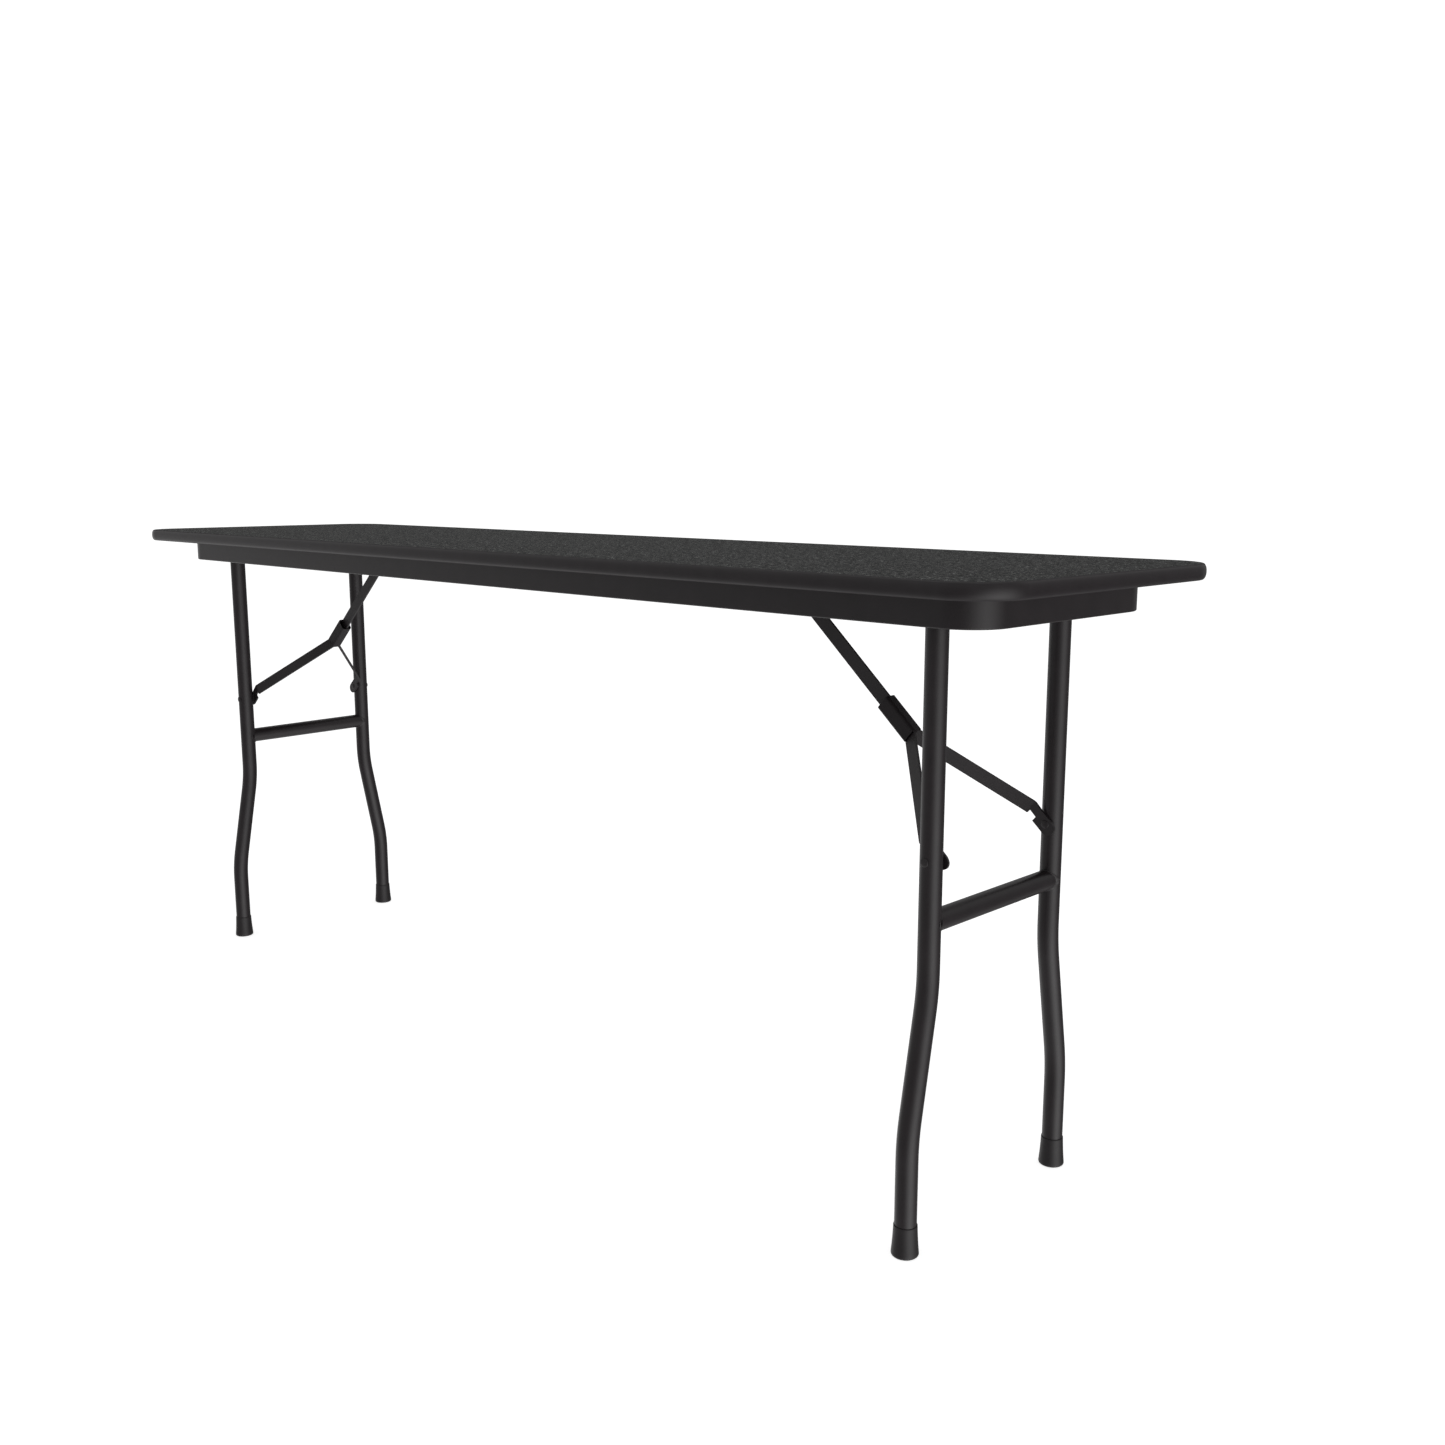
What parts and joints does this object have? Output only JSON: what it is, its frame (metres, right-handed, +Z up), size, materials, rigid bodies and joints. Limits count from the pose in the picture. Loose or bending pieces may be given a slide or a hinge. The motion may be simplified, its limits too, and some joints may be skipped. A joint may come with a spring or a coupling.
{
  "type": "folding table",
  "caption": "Long narrow folding table: rounded laminate top with a bullnose band, recessed steel apron, and bent tube leg frames with sliding-lock braces that fold flat beneath",
  "frame": {"origin": "on the floor under the middle of the top, with the table standing open", "axes": "+X along the length, +Y across the width from the front edge to the back edge, +Z up"},
  "size_m": [1.829, 0.462, 0.7484],
  "materials": {
    "laminate": "charcoal speckled laminate, satin",
    "core": "raw particle board",
    "backer": "dark phenolic backer sheet, matt",
    "vinyl": "black vinyl edge band, satin",
    "powder_coat": "black powder coat, fine texture, satin",
    "ring_coat": "black painted steel, grainy",
    "foot_plastic": "black moulded plastic, satin",
    "zinc": "bright zinc plate"
  },
  "bodies": {
    "table": {"top_laminate": "laminate", "core_board": "core", "backer_sheet": "backer", "edge_band": "vinyl", "apron_front_rail": "powder_coat", "apron_back_rail": "powder_coat", "apron_splice_back": "powder_coat", "apron_splice_left": "powder_coat", "apron_front_screw": "zinc", "apron_back_screw": "zinc", "right_front_pivot_bracket": "powder_coat", "right_front_bracket_screw_1": "zinc", "right_front_bracket_screw_2": "zinc", "right_back_pivot_bracket": "powder_coat", "right_back_bracket_screw_1": "zinc", "right_back_bracket_screw_2": "zinc", "right_strut_bracket": "powder_coat", "right_strut_bracket_screw_1": "zinc", "right_strut_bracket_screw_2": "zinc", "right_strut_pin": "powder_coat", "left_front_pivot_bracket": "powder_coat", "left_front_bracket_screw_1": "zinc", "left_front_bracket_screw_2": "zinc", "left_back_pivot_bracket": "powder_coat", "left_back_bracket_screw_1": "zinc", "left_back_bracket_screw_2": "zinc", "left_strut_bracket": "powder_coat", "left_strut_bracket_screw_1": "zinc", "left_strut_bracket_screw_2": "zinc", "left_strut_pin": "powder_coat"},
    "right_leg_frame": {"right_front_leg": "powder_coat", "right_front_foot_cap": "foot_plastic", "right_front_leg_rivet": "powder_coat", "right_back_leg": "powder_coat", "right_back_foot_cap": "foot_plastic", "right_back_leg_rivet": "powder_coat", "right_crossbar": "powder_coat", "right_pivot_rail": "powder_coat"},
    "right_strut": {"right_upper_strut": "powder_coat"},
    "right_arms": {"right_front_lower_arm": "powder_coat", "right_back_lower_arm": "powder_coat", "right_knuckle_rivet": "powder_coat", "right_front_arm_rivet_head": "powder_coat", "right_back_arm_rivet_head": "powder_coat"},
    "right_ring": {"right_lock_ring": "ring_coat"},
    "left_leg_frame": {"left_front_leg": "powder_coat", "left_front_foot_cap": "foot_plastic", "left_front_leg_rivet": "powder_coat", "left_back_leg": "powder_coat", "left_back_foot_cap": "foot_plastic", "left_back_leg_rivet": "powder_coat", "left_crossbar": "powder_coat", "left_pivot_rail": "powder_coat"},
    "left_strut": {"left_upper_strut": "powder_coat"},
    "left_arms": {"left_front_lower_arm": "powder_coat", "left_back_lower_arm": "powder_coat", "left_knuckle_rivet": "powder_coat", "left_front_arm_rivet_head": "powder_coat", "left_back_arm_rivet_head": "powder_coat"},
    "left_ring": {"left_lock_ring": "ring_coat"}
  },
  "joints": [
    {"name": "right_leg_fold", "type": "hinge", "parent": "table", "child": "right_leg_frame", "pos_m": [0.7729, 0, 0.713], "axis": [0, 1, 0], "range_deg": [0, 90]},
    {"name": "right_strut_swing", "type": "hinge", "parent": "table", "child": "right_strut", "pos_m": [0.46551, 0, 0.713], "axis": [0, -1, 0], "range_deg": [0, 41.4]},
    {"name": "right_knuckle_fold", "type": "hinge", "parent": "right_strut", "child": "right_arms", "pos_m": [0.63285, 0, 0.56547], "axis": [0, 1, 0], "range_deg": [0, 180]},
    {"name": "right_ring_slide", "type": "slide", "parent": "right_strut", "child": "right_ring", "axis": [-0.7501, 0, 0.6613], "range_m": [0, 0.18]},
    {"name": "left_leg_fold", "type": "hinge", "parent": "table", "child": "left_leg_frame", "pos_m": [-0.7729, 0, 0.713], "axis": [0, -1, 0], "range_deg": [0, 90]},
    {"name": "left_strut_swing", "type": "hinge", "parent": "table", "child": "left_strut", "pos_m": [-0.46551, 0, 0.713], "axis": [0, 1, 0], "range_deg": [0, 41.4]},
    {"name": "left_knuckle_fold", "type": "hinge", "parent": "left_strut", "child": "left_arms", "pos_m": [-0.63285, 0, 0.56547], "axis": [0, -1, 0], "range_deg": [0, 180]},
    {"name": "left_ring_slide", "type": "slide", "parent": "left_strut", "child": "left_ring", "axis": [0.7501, 0, 0.6613], "range_m": [0, 0.18]}
  ],
  "couplings": [
    {"joint": "right_strut_swing", "follows": "right_leg_fold", "ratio": 0.46},
    {"joint": "right_knuckle_fold", "follows": "right_leg_fold", "ratio": 2},
    {"joint": "right_ring_slide", "follows": "right_leg_fold", "m_per_rad": 0.11459},
    {"joint": "left_strut_swing", "follows": "left_leg_fold", "ratio": 0.46},
    {"joint": "left_knuckle_fold", "follows": "left_leg_fold", "ratio": 2},
    {"joint": "left_ring_slide", "follows": "left_leg_fold", "m_per_rad": 0.11459}
  ]
}
